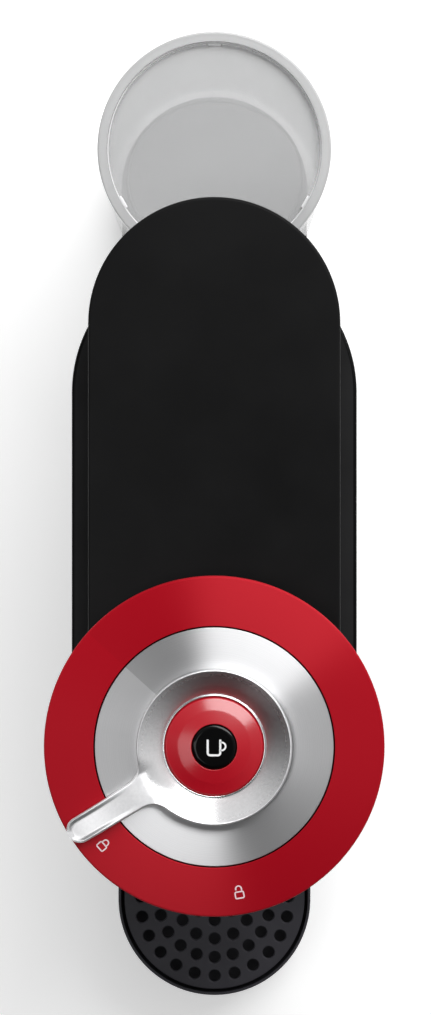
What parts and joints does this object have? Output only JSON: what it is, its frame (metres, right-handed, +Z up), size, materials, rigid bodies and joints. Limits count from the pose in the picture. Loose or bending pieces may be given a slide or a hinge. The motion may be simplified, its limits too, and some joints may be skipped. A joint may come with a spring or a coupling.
{
  "type": "pod coffee machine",
  "caption": "Slim pod coffee machine with a long lifting arm, a round head with a red ring and lock lever, an overhanging brew housing, a drip tray in front and a clear water tank behind.",
  "frame": {"origin": "on the table, under the middle of the machine's overall box", "axes": "+Z up, -Y towards the front (drip tray), +Y towards the rear (water tank), +X to the right as seen from above with the front towards the viewer"},
  "size_m": [0.136, 0.4274, 0.247],
  "materials": {
    "matte_black": "fine matte texture",
    "gloss_black": "polished",
    "red_metal": "red anodised, spun",
    "silver": "spun, satin",
    "steel": "plain",
    "clear": "clear plastic",
    "light_grey": "satin",
    "rubber": "matte",
    "silicone": "soft, milky",
    "white_plastic": "satin",
    "brass": "plain",
    "board_green": "lacquered board",
    "cast_metal": "cast"
  },
  "bodies": {
    "machine": {"base_plate": "matte_black", "foot_front_left": "rubber", "foot_front_right": "rubber", "foot_rear_left": "rubber", "foot_rear_right": "rubber", "base_screw_front_left": "steel", "base_screw_front_right": "steel", "base_screw_rear_left": "steel", "base_screw_rear_right": "steel", "column_housing": "matte_black", "brew_housing": "matte_black", "deck_plate": "matte_black", "capsule_chute": "matte_black", "spin_motor": "steel", "coffee_collector": "matte_black", "coffee_spout": "matte_black", "latch_collar": "steel", "code_reader": "gloss_black", "tank_socket": "white_plastic", "port_seal": "rubber", "cord_grommet": "rubber", "flow_meter": "white_plastic", "pump": "brass", "pump_bracket": "steel", "pump_mount_lower": "rubber", "pump_mount_upper": "rubber", "heater": "cast_metal", "control_board": "board_green", "tank_hose": "silicone", "suction_hose": "silicone", "pressure_hose": "silicone", "brew_hose": "silicone", "hinge_pin": "steel", "hinge_spring": "steel"},
    "holder": {"motor_shaft": "steel", "capsule_holder": "steel"},
    "arm": {"arm_shell": "matte_black", "arm_bottom_cover": "matte_black", "arm_hose": "silicone", "head_carrier": "matte_black", "red_ring": "red_metal", "silver_dial": "silver", "centre_cap": "red_metal", "button_spring": "steel", "switch_board": "board_green", "injection_block": "white_plastic", "rotor_bearing": "steel"},
    "lever": {"lever": "silver", "locking_ring": "steel"},
    "button": {"brew_button": "gloss_black"},
    "rotor": {"piercing_rotor": "steel", "head_seal": "silicone"},
    "tank": {"tank_vessel": "clear", "tank_floor_plate": "light_grey"},
    "poppet": {"tank_poppet": "white_plastic"},
    "lid": {"tank_lid": "clear"},
    "tray": {"drip_tray": "matte_black"},
    "grid": {"cup_grid": "matte_black"},
    "container": {"capsule_container": "matte_black"}
  },
  "joints": [
    {"name": "arm_hinge", "type": "hinge", "parent": "machine", "child": "arm", "pos_m": [0, 0.108, 0.213], "axis": [-1, 0, 0], "range_deg": [0, 40]},
    {"name": "lever_turn", "type": "hinge", "parent": "arm", "child": "lever", "pos_m": [0, -0.0815, 0], "axis": [0, 0, 1], "range_deg": [0, 60]},
    {"name": "button_press", "type": "slide", "parent": "arm", "child": "button", "axis": [0, 0, -1], "range_m": [0, 0.0012], "stiffness_N_per_m": 1500, "springref_m": -0.0006},
    {"name": "holder_spin", "type": "hinge", "parent": "machine", "child": "holder", "pos_m": [0, -0.0815, 0], "axis": [0, 0, 1], "continuous": true},
    {"name": "rotor_spin", "type": "hinge", "parent": "arm", "child": "rotor", "pos_m": [0, -0.0815, 0], "axis": [0, 0, 1], "continuous": true},
    {"name": "tank_slide", "type": "slide", "parent": "machine", "child": "tank", "axis": [0, 1, 0], "range_m": [0, 0.12]},
    {"name": "poppet_close", "type": "slide", "parent": "tank", "child": "poppet", "axis": [0, -1, 0], "range_m": [0, 0.0012]},
    {"name": "lid_lift", "type": "slide", "parent": "tank", "child": "lid", "axis": [0, 0, 1], "range_m": [0, 0.022]},
    {"name": "tray_slide", "type": "slide", "parent": "machine", "child": "tray", "axis": [0, -1, 0], "range_m": [0, 0.14]},
    {"name": "grid_lift", "type": "slide", "parent": "tray", "child": "grid", "axis": [0, 0, 1], "range_m": [0, 0.03]},
    {"name": "container_slide", "type": "slide", "parent": "machine", "child": "container", "axis": [0, -1, 0], "range_m": [0, 0.1]}
  ],
  "couplings": [
    {"joint": "rotor_spin", "follows": "holder_spin", "ratio": 1},
    {"joint": "poppet_close", "follows": "tank_slide", "ratio": 0.01}
  ]
}
